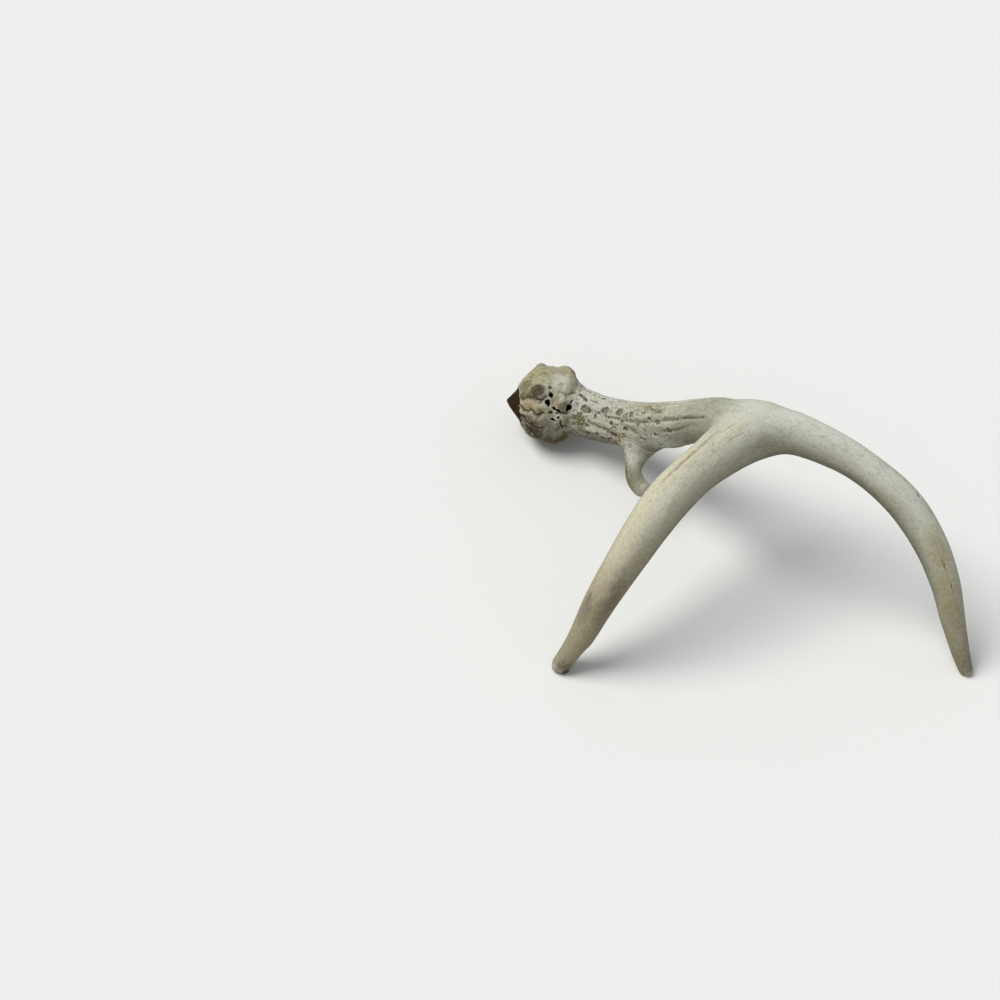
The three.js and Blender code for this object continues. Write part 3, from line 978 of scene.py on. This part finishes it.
# The arch darkens towards both of its tips, partly its own olive brown and partly painted shade on its
# lower parts. A round grey patch lies on the burr beside the seal.
tip = limb_shares["arch"] * np.maximum(smoothstep(135, 35, on_arch.along),
                                       smoothstep(335, 425, on_arch.along))
store(skin, "stain", stain)
store(skin, "stain_tone", stain_tone)
store(skin, "tip", tip + 0.5 * limb_shares["brow"])
store(skin, "disc", on_burr.spot(-9.2, -17, 4.7, 4.2, 0, 9, 0.12) * burr_share)


# ---- The antler: the relief that runs all over it ----
# Where blood vessels fed the growing antler it is furrowed and pitted, most of all on the burr and
# the lower beam. Towards the tips it is worn smooth, with a fine grain along it.

def relief_tree():
    """Raises ridges and sinks pits on the skin, in millimetres, along the grain it grew with."""
    tree = bpy.data.node_groups.new("grown_relief", "GeometryNodeTree")
    tree.interface.new_socket("Skin", in_out="INPUT", socket_type="NodeSocketGeometry")
    for name in ("Ridge Height", "Ridge Width", "Pit Depth", "Pit Width", "Grit Height", "Swell Height"):
        tree.interface.new_socket(name, in_out="INPUT", socket_type="NodeSocketFloat")
    tree.interface.new_socket("Seed", in_out="INPUT", socket_type="NodeSocketFloat")
    tree.interface.new_socket("Skin", in_out="OUTPUT", socket_type="NodeSocketGeometry")
    given = tree.nodes.new("NodeGroupInput")
    size = {socket.name: Wire(tree, socket) for socket in given.outputs if socket.name}
    wire = Wire(tree)

    def kept(name, kind="FLOAT"):
        return wire.node("GeometryNodeInputNamedAttribute", {"data_type": kind}, {"Name": name})

    def shared(pattern):
        """A pattern on the beam's grain, which passes into the same one on the side limb's grain."""
        share = kept("side_share")
        on_side = pattern(kept("side_grain", "FLOAT_VECTOR"))
        return pattern(kept("grain", "FLOAT_VECTOR")) * (1 - share) + on_side * share

    def noise(grain, width, stretch, detail=2.0):
        return wire.node("ShaderNodeTexNoise", {"noise_dimensions": "4D"},
                         {"Vector": grain.stretched(1, 1, 1 / stretch), "W": size["Seed"],
                          "Scale": 1 / width, "Detail": detail})

    def bent(grain, amount):
        """The grain pushed about by a fine noise, so that what follows it has ragged edges."""
        push = wire.node("ShaderNodeTexNoise", {}, {"Vector": grain, "Scale": 0.55, "Detail": 2.0}, 1)
        push = wire.node("ShaderNodeVectorMath", {"operation": "SUBTRACT"}, {0: push, 1: (0.5, 0.5, 0.5)})
        push = wire.node("ShaderNodeVectorMath", {"operation": "SCALE"}, {0: push, "Scale": amount * 2})
        return wire.node("ShaderNodeVectorMath", {"operation": "ADD"}, {0: grain, 1: push})

    def dimples(grain):
        cell = wire.node("ShaderNodeTexVoronoi", {"voronoi_dimensions": "4D"},
                         {"Vector": bent(grain, 2.2).stretched(1, 1, 0.6), "W": size["Seed"],
                          "Scale": 1 / size["Pit Width"], "Randomness": 1.0})
        crowd = noise(grain, 9, 2).ramp_up(0.44, 0.6)
        return (cell * (1.25 - 0.35 * crowd)).ramp_up(0.5, 0.3) * crowd

    coarse = kept("coarse")
    plain = (1 - kept("seal")) * (1 - kept("disc"))  # the seal and the grey patch are less uneven
    ridges = 1 - abs(shared(lambda g: noise(g, size["Ridge Width"], 5)) - 0.5) * 7
    swell = shared(lambda g: noise(g, 14, 4)) - 0.5
    grit = shared(lambda g: noise(g, 1.5, 1.6, 3.0)) - 0.5
    small_dimples = shared(dimples)
    height = (size["Ridge Height"] * (ridges - 0.3) * coarse
              - size["Pit Depth"] * small_dimples * coarse
              + size["Grit Height"] * grit * (0.2 + coarse)
              + size["Swell Height"] * swell) * (0.35 + 0.65 * plain)
    offset = wire.node("ShaderNodeVectorMath", {"operation": "SCALE"},
                       {0: wire.node("GeometryNodeInputNormal"), "Scale": height})
    moved = wire.node("GeometryNodeSetPosition", {}, {"Geometry": size["Skin"], "Offset": offset})
    pitted = wire.node("GeometryNodeStoreNamedAttribute", {"data_type": "FLOAT", "domain": "POINT"},
                       {"Geometry": moved, "Name": "dimple", "Value": small_dimples * coarse})
    real = wire.node("GeometryNodeRealizeInstances", {}, {"Geometry": pitted})
    dressed = wire.node("GeometryNodeSetMaterial", {}, {"Geometry": real, "Material": bone})
    tree.links.new(dressed.socket, tree.nodes.new("NodeGroupOutput").inputs["Skin"])
    return tree


growth = skin.modifiers.new("growth", "NODES")
growth.node_group = relief_tree()
set_inputs(growth, {
    "Ridge Height": 0.35,
    "Ridge Width": 6.0,
    "Pit Depth": 0.8,
    "Pit Width": 4.6,
    "Grit Height": 0.85,
    "Swell Height": 1.2,
    "Seed": 3.0,
})
skin = baked(skin, "antler")


# ---- The antler: hollows, crests and the side that faces up, for painted shade and light ----
# Painted shade goes in the hollows, painted highlight on the crests, painted light on the side that faces
# up and painted shade on the side that faces down, so each place keeps how hollow it is, once against its
# close surroundings and once against its wider ones, and how much it faces up.

CLOSE_ROUNDS = 8  # how many rounds of averaging reach as far as the close surroundings
WIDE_ROUNDS = 90
TOP_LIGHT_ROUNDS = 30

edges = edges_of(skin)
corners = corners_of(skin)
normals = normals_of(skin)
near_average = smoothed(corners, edges, CLOSE_ROUNDS)
wide_average = smoothed(near_average, edges, WIDE_ROUNDS)
store(skin, "hollow", ((near_average - corners) * normals).sum(1))
store(skin, "hollow_wide", ((wide_average - corners) * normals).sum(1))
store(skin, "sky", smoothed(normals[:, 2], edges, TOP_LIGHT_ROUNDS)[:, 0])


# ---- The antler: its bone ----
# Old bone that lay outside: grey white on top and greenish grey underneath as painted light and shade,
# cream where it is fresh, olive and brown towards the tips, partly as painted shade, and dark in the pits,
# partly its grey porous floors and partly painted shade.

def paint(tree):
    """Lays the coats of colour over each other. Each says where it shows, and how strongly."""
    wire = Wire(tree)

    def kept(name, output=2):
        return wire.node("ShaderNodeAttribute", {"attribute_name": name}, {}, output)

    def colour(r, g, b):
        return (*tone(r, g, b), 1)

    def mixed(share, first, second):
        return wire.node("ShaderNodeMix", {"data_type": "RGBA"}, {0: share, 6: first, 7: second}, 2)

    def noise(grain, width, stretch, detail=2.0, rough=0.5):
        return wire.node("ShaderNodeTexNoise", {},
                         {"Vector": grain.stretched(1, 1, 1 / stretch), "Scale": 1 / width,
                          "Detail": detail, "Roughness": rough})

    share = kept("side_share")
    main_grain = kept("grain", 1)
    side_grain = kept("side_grain", 1)

    def shared(width, stretch, detail=2.0, rough=0.5):
        return (noise(main_grain, width, stretch, detail, rough) * (1 - share)
                + noise(side_grain, width, stretch, detail, rough) * share)

    coarse = kept("coarse")
    hollow = kept("hollow")
    wide = kept("hollow_wide")
    tip = kept("tip")
    disc = kept("disc")
    patches = shared(24, 3, 3.0, 0.6)
    streaks = shared(0.8, 6, 3.0, 0.65)
    specks = shared(1.2, 1.8, 3.0, 0.65)
    mottle = shared(4.0, 2.5, 3.0, 0.6)

    # Painted light where it faces up and painted shade where it faces down: grey white on top, dull and
    # dark underneath.
    sky = (kept("sky") + (patches - 0.5) * 0.7 + (mottle - 0.5) * 0.25) * 0.5 + 0.5
    base = wire.node("ShaderNodeValToRGB", {"ramp": [
        (0.1, colour(84, 82, 68)),
        (0.4, colour(116, 115, 98)),
        (0.64, colour(168, 167, 150)),
        (0.86, colour(206, 207, 193)),
        (1.0, colour(216, 217, 204)),
    ]}, {"Fac": sky})
    # Olive brown towards the tips, partly the bone's own tone and partly painted shade on the lower parts.
    base = mixed(tip * 0.75, base, colour(150, 144, 118))
    # Grey and white streaks along the grain, then grey mottles, all calmer towards the tips.
    calm = 1 - 0.7 * tip
    base = mixed(streaks.ramp_up(0.48, 0.75) * 0.26 * calm, base, colour(126, 122, 100))
    base = mixed(streaks.ramp_up(0.48, 0.3) * 0.16 * calm, base, colour(226, 226, 214))
    base = mixed(mottle.ramp_up(0.48, 0.7) * (0.22 + 0.35 * coarse) * calm, base, colour(134, 131, 110))
    # The burr is yellower as a whole, and the stains lie over it, with a few patches of painted shade
    # among them.
    base = mixed(kept("burr") * 0.5, base, colour(150, 143, 116))
    base = mixed(kept("stain") * (0.55 + mottle * 0.9), base, kept("stain_tone", 0))
    # Darker in the dimples and pits, partly their grey porous floors and partly painted shade, dirt in the
    # streaks of the burr, and painted shade in its clefts and in every hollow.
    base = mixed(kept("dimple") * 0.5, base, colour(112, 110, 92))
    base = mixed(kept("pit").ramp_up(0.1, 0.8) * 0.75, base, colour(106, 103, 86))
    base = mixed(streaks.ramp_up(0.5, 0.7) * 0.35 * kept("burr"), base, colour(84, 76, 56))
    base = mixed(kept("cleft").ramp_up(0.7, 2.0) * 0.7, base, colour(68, 61, 42))
    base = mixed(hollow.ramp_up(0.02, 0.25) * 0.7, base, colour(70, 65, 50))
    base = mixed(wide.ramp_up(0.2, 1.1) * 0.5, base, colour(84, 79, 62))
    base = mixed(specks.ramp_up(0.5, 0.66) * (0.2 + 0.42 * coarse), base, colour(92, 88, 70))
    # Pale specks and painted highlight on the crests, but not on the dark soil and shade patches.
    clean = 1 - kept("stain") * kept("stain_tone").ramp_up(0.06, 0.025)
    pale = (0.12 + 0.25 * coarse) * (1 - 0.85 * kept("burr")) * clean
    base = mixed(specks.ramp_up(0.46, 0.32) * pale, base, colour(226, 224, 210))
    base = mixed(hollow.ramp_up(-0.03, -0.2) * 0.25 * clean, base, colour(226, 225, 214))
    # The grey patch beside the seal, painted shade inside the holes, the darkened flat face at the forward
    # tip and the seal itself.
    base = mixed(disc * (0.55 + 0.8 * specks), base, colour(78, 72, 56))
    base = mixed(kept("hole").ramp_up(0.5, 2.4), base, colour(24, 19, 12))
    base = mixed(kept("worn") * 0.85, base, colour(74, 66, 58))
    seal = mixed(specks.ramp_up(0.42, 0.68), colour(30, 19, 5), colour(70, 52, 24))
    base = mixed(kept("seal"), base, seal)
    shader = tree.nodes["Principled BSDF"]
    tree.links.new(base.socket, shader.inputs["Base Color"])
    roughness = 0.74 + 0.15 * specks
    tree.links.new(roughness.socket, shader.inputs["Roughness"])
    shader.inputs["Specular IOR Level"].default_value = 0.1
    fine = (streaks * 0.5 + specks * (0.5 + 0.9 * coarse)
            + shared(0.45, 1.3, 2.0, 0.6) * (0.3 + 0.4 * coarse + disc))
    bump = wire.node("ShaderNodeBump", {}, {"Strength": 0.8, "Distance": 0.0005, "Height": fine})
    tree.links.new(bump.socket, shader.inputs["Normal"])


paint(bone.node_tree)

# From millimetres around the limbs' own origin to metres on the table, and into fewer triangles.
MOST_TRIANGLES = 194000

corners = (corners_of(skin) - OUTLINE_MIDDLE) * 0.001
corners[:, 2] = np.maximum(corners[:, 2], 0)
move_corners(skin, corners)
thin = skin.modifiers.new("thin", "DECIMATE")
triangles = sum(len(polygon.vertices) - 2 for polygon in skin.data.polygons)
thin.ratio = min(1, MOST_TRIANGLES / triangles)
skin = baked(skin, "antler")
skin.data.name = "antler"
skin.data.shade_smooth()

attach(skin, "root")
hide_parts("burr_and_beam", "brow_tine", "forward_prong", "rear_tine")
